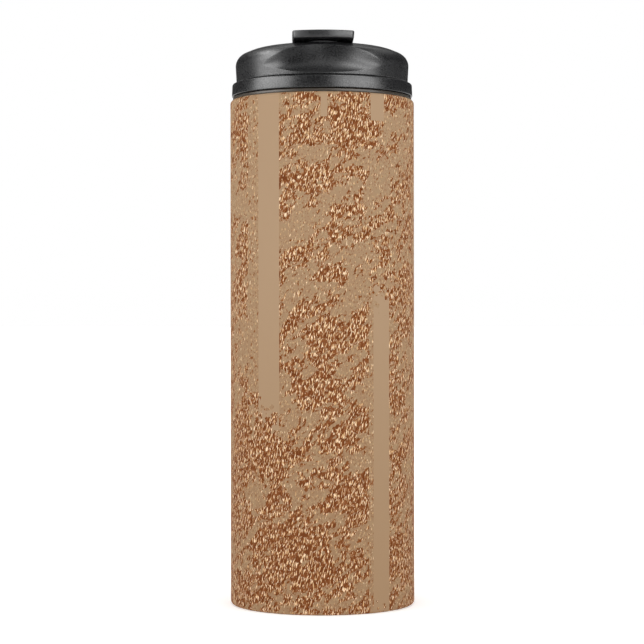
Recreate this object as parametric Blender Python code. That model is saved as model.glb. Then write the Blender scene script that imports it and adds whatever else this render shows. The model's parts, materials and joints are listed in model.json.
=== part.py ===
"""Insulated steel tumbler with a screw-in flip lid.

Metres, +Z up. The origin is the centre of the base, the tumbler stands on z = 0, and the drinking side faces -Y.
"""

import math

import bmesh
import bpy
from mathutils import Matrix, Vector

SEGMENTS = 48
SMALL_SEGMENTS = 24
FULL_TURN = 2 * math.pi
GAP = 0.0003

# Vessel
BODY_R = 0.0365
SHELL_WALL = 0.0006
SHELL_TOP = 0.1998
SHELL_SHOULDER_R = 0.0015
FOOT_R = 0.0015
FOOT_INNER_R = 0.0310
FOOT_INNER_BEND = 0.0008
FOOT_LIP_TOP = 0.0024
LINER_R = 0.0330
LINER_WALL = 0.0006
LINER_FLOOR = 0.0065
LINER_CORNER_R = 0.0060
LIP_R = 0.0355
LIP_LOW = 0.2001
LIP_TOP = 0.2011
LIP_ROLL_R = 0.0006
FOIL_R = 0.0346
FOIL_WALL = 0.0002
FOIL_SPAN = (0.0100, 0.1820)
PLATE_SPAN = (0.0019, 0.0025)
PORT_R = 0.0012
COVER_SPAN = (0.0005, 0.0010)
COVER_RIM_TOP = 0.0016
SEAL_SPAN = (0.0013, 0.0028)
SEAL_HEAD_R = 0.0020
GETTER_X = 0.0150
GETTER_R = 0.0040
GETTER_SPAN = (0.0034, 0.0047)
CLIP_WALL = 0.0003
CLIP_SPAN = (0.0028, 0.0042)

# Lid thread: two right-hand starts, shared by the mouth and the plug
THREAD_LEAD = 0.0120
THREAD_STARTS = 2
RIDGE_BASE = 0.0024
RIDGE_CREST = 0.0012
RIDGE_ROOT = 0.0003
RIDGE_RUNOUT = 3
MOUTH_RIDGE_R = 0.0316
MOUTH_RIDGE_LOW = 0.1865
MOUTH_RIDGE_SWEEP = math.radians(240)
PLUG_R = 0.0309
PLUG_RIDGE_R = 0.0324
PLUG_RIDGE_LOW = 0.1885
PLUG_RIDGE_SWEEP = math.radians(180)
FLANK_OFFSET = 0.0020

# Lid collar and gasket
PLUG_BOTTOM = 0.1868
PLUG_INNER_R = 0.0289
PLUG_EDGE = 0.0008
RING_LOW = 0.2014
RING_TOP = 0.2062
RING_LOW_R = 0.0359
RING_TOP_R = 0.0357
RING_EDGE_R = 0.0006
GASKET_SPAN = (0.1977, 0.2011)
GASKET_R = 0.0327
GASKET_RIB = 0.0007
GASKET_INNER_R = PLUG_R - 0.0002
FLANGE_R = PLUG_R + 0.0011
FLANGE_HEIGHT = 0.0009
FLANGE_SLOPE = 0.0006
SPIGOT_R = 0.0313
SPIGOT_WALL = 0.0020
SPIGOT_TOP = 0.2086

# Lid cap: a nearly straight side, a round shoulder, and a dome that falls ever faster towards it
CAP_LOW = 0.2065
CAP_LOW_R = 0.03405
CAP_R = 0.0344
CAP_SHOULDER_Z = 0.21325
CAP_SHOULDER_R = 0.0051
CAP_SHOULDER_TURN = math.radians(75)
CAP_TOP = 0.2205
DOME_POWER = 7
CAP_INNER_R = 0.0296
CAP_INNER_BEND = 0.0040
DOME_WALL = 0.0024

# Lip recess: the front of the cap cut by a wide ring, tilted about X so that its front stands highest
SCOOP_RING_R = 0.0714
SCOOP_TUBE_R = 0.0250
SCOOP_TILT = math.radians(33.7)
SCOOP_CENTRE = (0, 0.0044, 0.1814)

# Drinking hole and vent, both on the lid's middle plane
DRINK_Y = -0.0195
DRINK_R = 0.0052
DRINK_DUCT = (0.0050, 0.0062)
DRINK_BOSS_WALL = 0.0022
VENT_Y = -0.0070
VENT_R = 0.0015
VENT_DUCT = (0.0014, 0.0027)
VENT_BOSS_WALL = 0.0017
SEAT_Z = 0.2189
SEAT_MARGIN = 0.0014
BOSS_LOW = 0.2162
WASHER_SPAN = (0.2150, 0.2159)
DUCT_TOP = 0.2147
PLUG_FLOOR = 0.0016
FOAM_SPAN = (0.1887, 0.2124)
FOAM_CLEARANCE = 0.0005

# Flip tab, its axle along X, and the hinge block below the dome
AXLE_Y = 0.0050
AXLE_Z = 0.2178
AXLE_R = 0.0010
PIN_HALF = 0.0147
PIN_HOLE_SPAN = (-0.0150, 0.0180)
HINGE_BLOCK_HALF = 0.0160
HINGE_BLOCK_Y = (-0.0004, 0.0175)
HINGE_BLOCK_LOW = 0.2129
TAB_OPEN = math.radians(135)
TAB_WIDTH = 0.0240
TAB_FRONT_R = 0.0290
TAB_CORNER_R = 0.0016
TAB_LOW = 0.2208
TAB_TOP = 0.2242
TAB_RAKE = math.radians(14)
PEG_R = 0.0020
PEG_LENGTH = 0.0020
BARREL_R = 0.0027
POCKET_R = 0.0032
POCKET_SIDE_GAP = 0.0004
STOPPER_FLANGE = 0.0009
STOPPER_DEPTH = 0.0023
STOPPER_SLACK = 0.0004
STOPPER_CHAMFER = 0.0006
VENT_PLUG_R = 0.0010
VENT_PLUG_LENGTH = 0.0021

# How far a cutter or a boss runs past the faces it meets
OVERRUN = 0.0010


# ---------------------------------------------------------------- tools


def clear_scene():
    for obj in list(bpy.data.objects):
        bpy.data.objects.remove(obj)


def finish(name, colour, roughness, metallic):
    """One Principled material."""
    material = bpy.data.materials.new(name)
    material.use_nodes = True
    shader = material.node_tree.nodes["Principled BSDF"]
    shader.inputs["Base Color"].default_value = (*colour, 1)
    shader.inputs["Roughness"].default_value = roughness
    shader.inputs["Metallic"].default_value = metallic
    material.diffuse_color = (*colour, 1)
    return material


def place(name, bm, material=None, location=(0, 0, 0)):
    """An object from a closed bmesh, with its faces turned outwards and shaded smooth."""
    bmesh.ops.recalc_face_normals(bm, faces=bm.faces)
    mesh = bpy.data.meshes.new(name)
    bm.to_mesh(mesh)
    bm.free()
    mesh.shade_smooth()
    mesh.set_sharp_from_angle(angle=math.radians(35))
    obj = bpy.data.objects.new(name, mesh)
    obj.location = location
    if material:
        mesh.materials.append(material)
    bpy.context.scene.collection.objects.link(obj)
    return obj


def arc(centre, radius, start, end, steps):
    """Points on an arc in the (first, second) plane, angles in degrees."""
    angles = [math.radians(start + (end - start) * i / steps) for i in range(steps + 1)]
    return [(centre[0] + radius * math.cos(a), centre[1] + radius * math.sin(a)) for a in angles]


def turned(name, profile, material=None, location=(0, 0, 0), segments=SEGMENTS):
    """A solid turned about its own Z axis from a closed outline of (radius, height) points."""
    bm = bmesh.new()
    verts = [bm.verts.new((radius, 0, height)) for radius, height in profile]
    edges = []
    for a, b in zip(verts, verts[1:] + verts[:1]):
        if a.co.x > 0 or b.co.x > 0:
            edges.append(bm.edges.new((a, b)))
    bmesh.ops.spin(
        bm, geom=verts + edges, axis=(0, 0, 1), cent=(0, 0, 0), angle=FULL_TURN, steps=segments, use_merge=True
    )
    bmesh.ops.remove_doubles(bm, verts=bm.verts, dist=1e-7)
    return place(name, bm, material, location)


def disc(name, radius, low, high, material=None, location=(0, 0, 0), segments=SMALL_SEGMENTS):
    """A plain upright cylinder whose ends are single flat faces."""
    bm = bmesh.new()
    bmesh.ops.create_cone(bm, cap_ends=True, segments=segments, radius1=radius, radius2=radius, depth=high - low)
    bmesh.ops.translate(bm, verts=bm.verts, vec=(0, 0, (low + high) / 2))
    return place(name, bm, material, location)


def ring(name, inner, outer, low, high, material=None, location=(0, 0, 0), segments=SMALL_SEGMENTS):
    outline = [(inner, high), (outer, high), (outer, low), (inner, low)]
    return turned(name, outline, material, location, segments)


def prism(name, outline, low, high, axis, material=None, location=(0, 0, 0)):
    """A straight prism. The outline is (y, z) points for axis X, and (x, y) points for axis Z."""
    bm = bmesh.new()
    if axis == "X":
        corners = [Vector((low, a, b)) for a, b in outline]
        step = Vector((high - low, 0, 0))
    else:
        corners = [Vector((a, b, low)) for a, b in outline]
        step = Vector((0, 0, high - low))
    face = bm.faces.new([bm.verts.new(corner) for corner in corners])
    made = bmesh.ops.extrude_face_region(bm, geom=[face])["geom"]
    moved = [item for item in made if isinstance(item, bmesh.types.BMVert)]
    bmesh.ops.translate(bm, verts=moved, vec=step)
    return place(name, bm, material, location)


def crossbar(name, radius, low_x, high_x, material=None):
    """A round bar along X on the tab's axle line, with the axle line as its origin."""
    outline = arc((0, 0), radius, 0, 360, SMALL_SEGMENTS)[:-1]
    return prism(name, outline, low_x, high_x, "X", material, (0, AXLE_Y, AXLE_Z))


def apply_boolean(target, other, operation):
    """A Boolean on the target, whose other shape stays as a guide that is never rendered."""
    modifier = target.modifiers.new(other.name, "BOOLEAN")
    modifier.operation = operation
    modifier.solver = "EXACT"
    modifier.object = other
    other.hide_render = True
    other.display_type = "WIRE"


def cut(target, other):
    apply_boolean(target, other, "DIFFERENCE")


def join(target, other):
    apply_boolean(target, other, "UNION")


def thread_ridge(name, wall_r, crest_r, low, start, sweep):
    """One helical ridge that grows out of a wall, and sinks back into it at both ends."""
    steps = round(sweep / FULL_TURN * SEGMENTS)
    outward = math.copysign(1, crest_r - wall_r)
    buried = wall_r - outward * RIDGE_ROOT
    lowest = buried + outward * RIDGE_ROOT / 3
    bm = bmesh.new()
    rows = []
    for i in range(steps + 1):
        angle = start + sweep * i / steps
        centre = low + THREAD_LEAD * sweep * i / steps / FULL_TURN
        height = min(1, i / RIDGE_RUNOUT, (steps - i) / RIDGE_RUNOUT)
        crest = lowest + (crest_r - lowest) * height
        section = [
            (buried, -RIDGE_BASE / 2),
            (crest, -RIDGE_CREST / 2),
            (crest, RIDGE_CREST / 2),
            (buried, RIDGE_BASE / 2),
        ]
        row = [bm.verts.new((r * math.cos(angle), r * math.sin(angle), centre + z)) for r, z in section]
        rows.append(row)
    for a, b in zip(rows, rows[1:]):
        for k in range(4):
            bm.faces.new((a[k], b[k], b[(k + 1) % 4], a[(k + 1) % 4]))
    bm.faces.new(rows[0])
    bm.faces.new(rows[-1][::-1])
    return place(name, bm)


def add_thread(target, wall_r, crest_r, low, first_start, sweep):
    for k in range(THREAD_STARTS):
        start = first_start + FULL_TURN * k / THREAD_STARTS
        join(target, thread_ridge(f"{target.name}_ridge_{k}", wall_r, crest_r, low, start, sweep))


# ---------------------------------------------------------------- vessel


def outer_shell(material):
    """The printed tube: a rolled foot below, and a shoulder turned in to the mouth above."""
    inner = BODY_R - SHELL_WALL
    neck = LINER_R + LINER_WALL + GAP
    shoulder = (BODY_R - SHELL_SHOULDER_R, SHELL_TOP - SHELL_SHOULDER_R)
    foot = (BODY_R - FOOT_R, FOOT_R)
    profile = [(neck, SHELL_TOP), (shoulder[0], SHELL_TOP)]
    profile += arc(shoulder, SHELL_SHOULDER_R, 78, 0, 5)
    profile += arc(foot, FOOT_R, 0, -90, 5)
    profile += [(FOOT_INNER_R + FOOT_INNER_BEND, 0), (FOOT_INNER_R, FOOT_INNER_BEND), (FOOT_INNER_R, FOOT_LIP_TOP)]
    profile += [(FOOT_INNER_R + SHELL_WALL, FOOT_LIP_TOP), (FOOT_INNER_R + SHELL_WALL, FOOT_INNER_BEND)]
    profile += arc(foot, FOOT_R - SHELL_WALL, -90, 0, 3)
    profile += arc(shoulder, SHELL_SHOULDER_R - SHELL_WALL, 0, 90, 3)
    profile += [(neck, SHELL_TOP - SHELL_WALL)]
    return turned("outer_shell", profile, material)


def inner_liner(material):
    """The drawn cup with a rounded floor corner, a rolled lip and the mouth thread."""
    outer = LINER_R + LINER_WALL
    corner = LINER_CORNER_R
    roll_z = LIP_TOP - LIP_ROLL_R
    profile = arc((LINER_R + LIP_ROLL_R, roll_z), LIP_ROLL_R, 180, 90, 3)
    profile += arc((LIP_R - LIP_ROLL_R, roll_z), LIP_ROLL_R, 90, 0, 3)
    profile += [(LIP_R - LIP_ROLL_R / 3, LIP_LOW), (outer, LIP_LOW)]
    low = LINER_FLOOR - LINER_WALL
    bend = (LINER_R - corner, LINER_FLOOR + corner)
    profile += arc(bend, corner + LINER_WALL, 0, -90, 5)
    profile += [(0, low), (0, LINER_FLOOR)]
    profile += arc(bend, corner, -90, 0, 5)
    liner = turned("inner_liner", profile, material)
    add_thread(liner, LINER_R, MOUTH_RIDGE_R, MOUTH_RIDGE_LOW, 0, MOUTH_RIDGE_SWEEP)
    return liner


def base_cover(material):
    """The thin disc over the vacuum port, with an upturned rim."""
    low, high = COVER_SPAN
    wall = high - low
    rim_r = FOOT_INNER_R - GAP
    outline = [(rim_r - 2.6 * wall, COVER_RIM_TOP), (rim_r, COVER_RIM_TOP), (rim_r, low + wall)]
    outline += [(rim_r - wall, low), (0, low), (0, high), (rim_r - 3.4 * wall, high)]
    return turned("base_cover", outline, material)


def vacuum_seal(material):
    """The bead that closes the port: a stem in the hole and a head below the plate."""
    low, high = SEAL_SPAN
    stem = PORT_R - GAP
    head_top = PLATE_SPAN[0] - GAP
    outline = [(0, high), (stem, high - 0.0001), (stem, head_top), (SEAL_HEAD_R, head_top)]
    outline += [(SEAL_HEAD_R - 0.0004, low), (0, low)]
    return turned("vacuum_seal", outline, material, segments=SMALL_SEGMENTS)


def getter_clip(material):
    """An open cup that holds the getter pellet in the vacuum space."""
    low, high = CLIP_SPAN
    inner = GETTER_R + GAP
    outer = inner + 0.0004
    floor = low + CLIP_WALL
    outline = [(inner, high), (outer, high), (outer, low), (0, low), (0, floor), (inner, floor)]
    return turned("getter_clip", outline, material, (GETTER_X, 0, 0), SMALL_SEGMENTS)


def vessel():
    steel = finish("bare_steel", (0.55, 0.54, 0.52), 0.3, 1)
    outer_shell(finish("printed_steel", (0.46, 0.31, 0.19), 0.45, 0.2))
    inner_liner(steel)
    copper = finish("copper_foil", (0.80, 0.42, 0.26), 0.25, 1)
    ring("foil_shield", FOIL_R - FOIL_WALL, FOIL_R, *FOIL_SPAN, copper, segments=SEGMENTS)
    ring("base_plate", PORT_R, FOOT_INNER_R - GAP, *PLATE_SPAN, steel, segments=SEGMENTS)
    base_cover(steel)
    vacuum_seal(finish("solder", (0.62, 0.62, 0.60), 0.4, 1))
    getter_clip(steel)
    getter = finish("getter", (0.12, 0.12, 0.12), 0.8, 0.4)
    disc("getter_pellet", GETTER_R, *GETTER_SPAN, getter, (GETTER_X, 0, 0))


# ---------------------------------------------------------------- lid


def lid_gasket(material):
    """A silicone ring with two soft ribs that press on the mouth's wall."""
    low, high = GASKET_SPAN
    valley = GASKET_R - GASKET_RIB
    rib = (high - low) / 4
    profile = [(GASKET_INNER_R, high), (valley, high), (GASKET_R, high - rib), (valley, high - 2 * rib)]
    profile += [(GASKET_R, high - 3 * rib), (valley, low), (GASKET_INNER_R, low)]
    return turned("lid_gasket", profile, material)


def lid_collar(material):
    """The outer ring, the gasket's groove, the threaded plug below and the spigot that holds the cap."""
    low = GASKET_SPAN[0]
    groove_r = GASKET_INNER_R - GAP
    profile = [(SPIGOT_R - SPIGOT_WALL, SPIGOT_TOP), (SPIGOT_R, SPIGOT_TOP), (SPIGOT_R, RING_TOP)]
    profile += arc((RING_TOP_R - RING_EDGE_R, RING_TOP - RING_EDGE_R), RING_EDGE_R, 90, 0, 3)
    profile += [(RING_LOW_R, RING_LOW + 0.0002), (RING_LOW_R - 0.0002, RING_LOW), (groove_r, RING_LOW)]
    flange_low = low - GAP - FLANGE_HEIGHT
    profile += [(groove_r, low - GAP), (FLANGE_R, low - GAP), (FLANGE_R, flange_low)]
    profile += [(PLUG_R, flange_low - FLANGE_SLOPE), (PLUG_R, PLUG_BOTTOM + PLUG_EDGE)]
    profile += [(PLUG_R - PLUG_EDGE, PLUG_BOTTOM), (PLUG_INNER_R, PLUG_BOTTOM)]
    collar = turned("lid_collar", profile, material)
    lead_in = PLUG_RIDGE_LOW - (MOUTH_RIDGE_LOW - FLANK_OFFSET + THREAD_LEAD / THREAD_STARTS)
    first_start = lead_in / THREAD_LEAD * FULL_TURN
    add_thread(collar, PLUG_R, PLUG_RIDGE_R, PLUG_RIDGE_LOW, first_start, PLUG_RIDGE_SWEEP)
    return collar


def shoulder_end():
    """Where the shoulder's arc hands over to the dome, as (radius, height)."""
    across = CAP_R - CAP_SHOULDER_R + CAP_SHOULDER_R * math.cos(CAP_SHOULDER_TURN)
    return across, CAP_SHOULDER_Z + CAP_SHOULDER_R * math.sin(CAP_SHOULDER_TURN)


def dome_height(radius):
    """The height of the cap's top, flat in the middle and falling ever faster to the shoulder."""
    reach, end_z = shoulder_end()
    return CAP_TOP - (CAP_TOP - end_z) * (radius / reach) ** DOME_POWER


def cap_profile():
    reach = shoulder_end()[0]
    rim_r = SPIGOT_R + GAP
    step = SPIGOT_TOP + GAP
    profile = [(0, CAP_TOP)]
    profile += [(reach * share, dome_height(reach * share)) for share in (0.4, 0.6, 0.72, 0.82, 0.9, 0.96)]
    profile += arc((CAP_R - CAP_SHOULDER_R, CAP_SHOULDER_Z), CAP_SHOULDER_R, math.degrees(CAP_SHOULDER_TURN), 0, 7)
    profile += [(CAP_LOW_R, CAP_LOW), (rim_r, CAP_LOW), (rim_r, step), (CAP_INNER_R, step)]
    profile += arc((CAP_INNER_R - CAP_INNER_BEND, CAP_SHOULDER_Z), CAP_INNER_BEND, 0, 75, 4)
    profile += [(0.0180, CAP_TOP - DOME_WALL - 0.0004), (0, CAP_TOP - DOME_WALL)]
    return profile


def pocket_outline():
    """The hinge pocket in (y, z) from the axle: it cradles the barrel, and slopes up where the open tab rests."""
    slope = math.degrees(TAB_OPEN - TAB_RAKE) - 90
    high = CAP_TOP + 2 * OVERRUN - AXLE_Z
    cradle = arc((0, 0), POCKET_R, 180, 270 + slope, 6)
    foot_y, foot_z = cradle[-1]
    exit_y = foot_y + (high - foot_z) / math.tan(math.radians(slope))
    return [(-POCKET_R, high)] + cradle + [(exit_y, high)]


def scoop_cutter():
    """The tilted ring that cuts the lip recess."""
    tube = arc((SCOOP_RING_R, 0), SCOOP_TUBE_R, 0, 360, 48)[:-1]
    cutter = turned("scoop_cutter", tube, location=SCOOP_CENTRE, segments=96)
    cutter.rotation_euler.x = -SCOOP_TILT
    return cutter


def lid_cap(material):
    """The domed shell: bosses below the dome, then the lip recess, the holes and the hinge pocket."""
    cap = turned("lid_cap", cap_profile(), material)
    inside_dome = CAP_TOP - DOME_WALL + OVERRUN
    front, back = HINGE_BLOCK_Y
    hinge_box = [(front, HINGE_BLOCK_LOW), (back, HINGE_BLOCK_LOW), (back, inside_dome), (front, inside_dome)]
    join(cap, prism("hinge_block", hinge_box, -HINGE_BLOCK_HALF, HINGE_BLOCK_HALF, "X"))
    join(cap, disc("drink_boss", DRINK_R + DRINK_BOSS_WALL, BOSS_LOW, inside_dome, location=(0, DRINK_Y, 0)))
    join(cap, disc("vent_boss", VENT_R + VENT_BOSS_WALL, BOSS_LOW, inside_dome, location=(0, VENT_Y, 0)))

    cut(cap, scoop_cutter())
    above = CAP_TOP + OVERRUN
    below = BOSS_LOW - OVERRUN
    cut(cap, disc("seat_cutter", DRINK_R + SEAT_MARGIN, SEAT_Z, above, location=(0, DRINK_Y, 0)))
    cut(cap, disc("drink_cutter", DRINK_R, below, above, location=(0, DRINK_Y, 0)))
    cut(cap, disc("vent_cutter", VENT_R, below, above, location=(0, VENT_Y, 0), segments=16))
    half = TAB_WIDTH / 2 + POCKET_SIDE_GAP
    cut(cap, prism("pocket_cutter", pocket_outline(), -half, half, "X", location=(0, AXLE_Y, AXLE_Z)))
    cut(cap, crossbar("pin_hole_cutter", AXLE_R + GAP, *PIN_HOLE_SPAN))
    return cap


def lid_insulation(material):
    """The foam block, with clearance around both ducts."""
    foam = disc("lid_insulation", PLUG_INNER_R - GAP, *FOAM_SPAN, material, segments=SEGMENTS)
    low, high = FOAM_SPAN[0] - OVERRUN, FOAM_SPAN[1] + OVERRUN
    for name, y, duct in (("foam_drink_cutter", DRINK_Y, DRINK_DUCT), ("foam_vent_cutter", VENT_Y, VENT_DUCT)):
        cut(foam, disc(name, duct[1] + FOAM_CLEARANCE, low, high, location=(0, y, 0)))
    return foam


def plug_cover(material):
    """The bottom disc of the plug with its two ducts standing on it."""
    floor_top = PLUG_BOTTOM + PLUG_FLOOR
    cover = disc("plug_cover", PLUG_INNER_R - GAP, PLUG_BOTTOM, floor_top, material, segments=SEGMENTS)
    ducts = (("drink_duct", DRINK_Y, DRINK_DUCT), ("vent_duct", VENT_Y, VENT_DUCT))
    for name, y, (_, outer) in ducts:
        join(cover, disc(name, outer, PLUG_BOTTOM + PLUG_FLOOR / 2, DUCT_TOP, location=(0, y, 0)))
    for name, y, (inner, _) in ducts:
        cut(cover, disc(name + "_bore", inner, PLUG_BOTTOM - OVERRUN, DUCT_TOP + OVERRUN, location=(0, y, 0)))
    return cover


def lid():
    black = finish("black_plastic", (0.02, 0.02, 0.02), 0.45, 0)
    silicone = finish("grey_silicone", (0.12, 0.12, 0.12), 0.6, 0)
    lid_gasket(silicone)
    lid_collar(black)
    lid_cap(black)
    lid_insulation(finish("white_foam", (0.85, 0.85, 0.82), 0.9, 0))
    plug_cover(black)
    ring("spout_seal", *DRINK_DUCT, *WASHER_SPAN, silicone, (0, DRINK_Y, 0))
    ring("vent_seal", *VENT_DUCT, *WASHER_SPAN, silicone, (0, VENT_Y, 0))
    crossbar("hinge_pin", AXLE_R, -PIN_HALF, PIN_HALF, finish("pin_steel", (0.6, 0.6, 0.6), 0.25, 1))


# ---------------------------------------------------------------- flip tab


def tab_side_outline():
    """The tab from the side in (y, z) from the axle, forwards being -Y: barrel, neck, and the long plate."""
    low = TAB_LOW - AXLE_Z
    high = TAB_TOP - AXLE_Z
    front = -AXLE_Y - TAB_FRONT_R - OVERRUN
    rake = math.degrees(TAB_RAKE)
    barrel = arc((0, 0), BARREL_R, 90 - rake, -180, 12)
    back_y, back_z = barrel[0]
    crest_y = back_y - (high - back_z) / math.tan(TAB_RAKE)
    return barrel + [(-BARREL_R, low), (front, low), (front, high), (crest_y, high)]


def tab_plan_outline():
    """The tab from above in (x, y): straight sides, a front that follows the lid, and rounded front corners."""
    half = TAB_WIDTH / 2
    reach = TAB_FRONT_R - TAB_CORNER_R
    corner_x = half - TAB_CORNER_R
    turn = math.degrees(math.acos(corner_x / reach))
    corner_y = -math.sqrt(reach**2 - corner_x**2)
    right = arc((corner_x, corner_y), TAB_CORNER_R, 0, -turn, 3)
    left = [(-x, y) for x, y in reversed(right)]
    front = arc((0, 0), TAB_FRONT_R, -turn, turn - 180, 8)[1:-1]
    back = AXLE_Y + 2 * BARREL_R
    return [(half, back)] + right + front + left + [(-half, back)]


def flip_tab(material):
    """The lever: its side outline cut to its plan, a peg for the stopper, and the bore for the pin."""
    half = TAB_WIDTH / 2 + OVERRUN
    tab = prism("flip_tab", tab_side_outline(), -half, half, "X", material, (0, AXLE_Y, AXLE_Z))
    plan = prism("tab_plan", tab_plan_outline(), AXLE_Z - 2 * BARREL_R, TAB_TOP + OVERRUN, "Z")
    apply_boolean(tab, plan, "INTERSECT")
    join(tab, disc("stopper_peg", PEG_R, TAB_LOW - PEG_LENGTH, TAB_LOW + OVERRUN, location=(0, DRINK_Y, 0)))
    cut(tab, crossbar("tab_bore", AXLE_R + GAP, -half - OVERRUN, half + OVERRUN))
    return tab


def hang_on_tab(name, profile, y, material, segments):
    """A turned piece under the tab, forwards of the axle line, which holds its origin."""
    on_axle = [(radius, height - AXLE_Z) for radius, height in profile]
    piece = turned(name, on_axle, material, segments=segments)
    piece.data.transform(Matrix.Translation((0, y - AXLE_Y, 0)))
    piece.location = (0, AXLE_Y, AXLE_Z)
    return piece


def drink_stopper(material):
    """A flanged plug with a blind hole that grips the tab's peg."""
    top = TAB_LOW - GAP
    flange_r = DRINK_R + STOPPER_FLANGE
    seat = SEAT_Z + GAP
    bottom = seat - STOPPER_DEPTH
    plug_r = DRINK_R - STOPPER_SLACK
    hole_r = PEG_R + GAP
    hole_end = TAB_LOW - PEG_LENGTH - GAP
    profile = [(hole_r, top), (flange_r, top), (flange_r, seat), (plug_r, seat)]
    profile += [(plug_r, bottom + STOPPER_CHAMFER), (plug_r - STOPPER_CHAMFER, bottom), (0, bottom)]
    profile += [(0, hole_end), (hole_r, hole_end)]
    return hang_on_tab("drink_stopper", profile, DRINK_Y, material, SMALL_SEGMENTS)


def vent_plug(material):
    """A small round-nosed peg under the tab."""
    top = TAB_LOW - GAP
    end = top - VENT_PLUG_LENGTH
    nose = VENT_PLUG_R / 2
    profile = [(0, top), (VENT_PLUG_R, top), (VENT_PLUG_R, end + nose), (VENT_PLUG_R - nose, end), (0, end)]
    return hang_on_tab("vent_plug", profile, VENT_Y, material, 16)


def tab():
    flip_tab(finish("tab_plastic", (0.03, 0.03, 0.03), 0.4, 0))
    silicone = finish("dark_silicone", (0.05, 0.05, 0.05), 0.6, 0)
    drink_stopper(silicone)
    vent_plug(silicone)


clear_scene()
vessel()
lid()
tab()
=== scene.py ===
"""The tumbler's looks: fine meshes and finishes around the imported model, on a pale studio floor."""

import bisect
import json
import math

import bmesh
import bpy
from mathutils import Matrix, Vector


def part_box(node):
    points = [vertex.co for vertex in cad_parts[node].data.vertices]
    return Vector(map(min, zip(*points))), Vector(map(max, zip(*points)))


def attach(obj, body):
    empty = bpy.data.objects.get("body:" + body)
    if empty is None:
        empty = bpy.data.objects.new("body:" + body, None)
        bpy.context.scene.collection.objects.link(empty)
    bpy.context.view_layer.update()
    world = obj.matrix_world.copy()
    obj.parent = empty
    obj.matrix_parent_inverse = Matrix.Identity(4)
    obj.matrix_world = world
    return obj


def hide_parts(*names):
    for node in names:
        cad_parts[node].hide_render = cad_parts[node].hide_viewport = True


MM = 0.001
FULL_TURN = 2 * math.pi
ROUND = 192
SMALL_ROUND = 64
GAP = 0.3 * MM
SAME_POINT = 1e-7

# The angles, in degrees, past which an edge stays sharp: on plain meshes, and on softened ones.
SHARP = 35
SOFTENED_SHARP = 50


# ---------------------------------------------------------------- places, from the frame

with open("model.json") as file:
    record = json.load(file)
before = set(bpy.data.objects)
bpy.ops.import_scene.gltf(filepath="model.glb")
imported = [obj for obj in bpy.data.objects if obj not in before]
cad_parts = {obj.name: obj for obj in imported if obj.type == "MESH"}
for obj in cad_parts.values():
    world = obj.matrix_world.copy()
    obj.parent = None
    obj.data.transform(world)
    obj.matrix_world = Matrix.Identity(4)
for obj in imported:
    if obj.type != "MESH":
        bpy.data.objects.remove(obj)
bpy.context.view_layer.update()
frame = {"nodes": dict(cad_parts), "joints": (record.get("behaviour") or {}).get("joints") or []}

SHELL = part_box("outer_shell")
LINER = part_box("inner_liner")
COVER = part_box("base_cover")
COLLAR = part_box("lid_collar")
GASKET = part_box("lid_gasket")
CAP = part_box("lid_cap")
PLUG_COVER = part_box("plug_cover")
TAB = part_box("flip_tab")
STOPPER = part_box("drink_stopper")
VENT_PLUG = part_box("vent_plug")
JOINTS = {joint["name"]: joint for joint in frame["joints"]}

# Vessel
BODY_R = SHELL[1].x
SHELL_TOP = SHELL[1].z
SHELL_WALL = 0.6 * MM
SHELL_BEND = 1.5 * MM
LINER_R = 33.0 * MM
LINER_WALL = 0.6 * MM
LINER_CORNER_R = 6.0 * MM
LIP_R = 35.5 * MM
LIP_LOW = SHELL_TOP + 0.05 * MM
LIP_TOP = LINER[1].z

# Screw thread
THREAD_STARTS = 2
THREAD_LEAD = JOINTS["lid_rise"]["range_m"][1] / (JOINTS["lid_twist"]["range_deg"][1] / 360)
MOUTH_RIDGE_R = 31.6 * MM
MOUTH_RIDGE_LOW = 186.5 * MM
MOUTH_RIDGE_SWEEP = math.radians(240)
PLUG_R = 30.9 * MM
PLUG_RIDGE_R = 32.4 * MM
PLUG_RIDGE_LOW = 188.5 * MM
PLUG_RIDGE_FIRST = math.radians(-60)
PLUG_RIDGE_SWEEP = math.radians(180)

# Lid
RING_LOW = LIP_TOP + 0.15 * MM
CAP_LOW = CAP[0].z
RING_TOP = CAP_LOW - GAP
CAP_TOP = CAP[1].z
CAP_R = CAP[1].x
CAP_LOW_R = CAP_R - 0.35 * MM
CAP_INNER_R = 29.6 * MM
CAP_INNER_BEND = 4.0 * MM
DOME_WALL = 2.4 * MM
DOME_POWER = 7
SPIGOT_R = 31.3 * MM
SHOULDER_Z = 213.25 * MM
SHOULDER_R = 5.1 * MM
SHOULDER_TURN = 75
DRINK_Y = (STOPPER[0].y + STOPPER[1].y) / 2
DRINK_R = 5.2 * MM
DRINK_BOSS_WALL = 2.2 * MM
VENT_Y = (VENT_PLUG[0].y + VENT_PLUG[1].y) / 2
VENT_R = 1.5 * MM
VENT_BOSS_WALL = 1.7 * MM
DRINK_DUCT = (5.0 * MM, 6.2 * MM)
VENT_DUCT = (1.4 * MM, 2.7 * MM)
SEAT_Z = 218.9 * MM
BOSS_LOW = 216.2 * MM
HINGE_BLOCK = ((-0.4 * MM, 212.9 * MM), (17.5 * MM, CAP_TOP - 1.4 * MM))
HINGE_BLOCK_HALF = 16 * MM

# The pin's hole is blind on the left, and comes out of the hinge block on the right.
PIN_HOLE_R = 1.3 * MM
PIN_HOLE_ENDS = (-15 * MM, 18 * MM)

# Lip recess: a lens on the cap's front. Its edges are ways down the side from the middle of the dome, and
# the powers say how late each edge bends towards the tips.
RECESS_HALF = math.radians(44.5)
RECESS_TOP = 30.5 * MM
RECESS_TOP_POWER = 1.65
RECESS_TIP = 39.7 * MM
RECESS_BOTTOM = 43.7 * MM
RECESS_BOTTOM_POWER = 2.3
RECESS_LEAST = 0.3 * MM
RECESS_HOLLOW_R = 25.0 * MM
RECESS_DIP = 0.05
RECESS_EASE_POWER = 6

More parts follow.
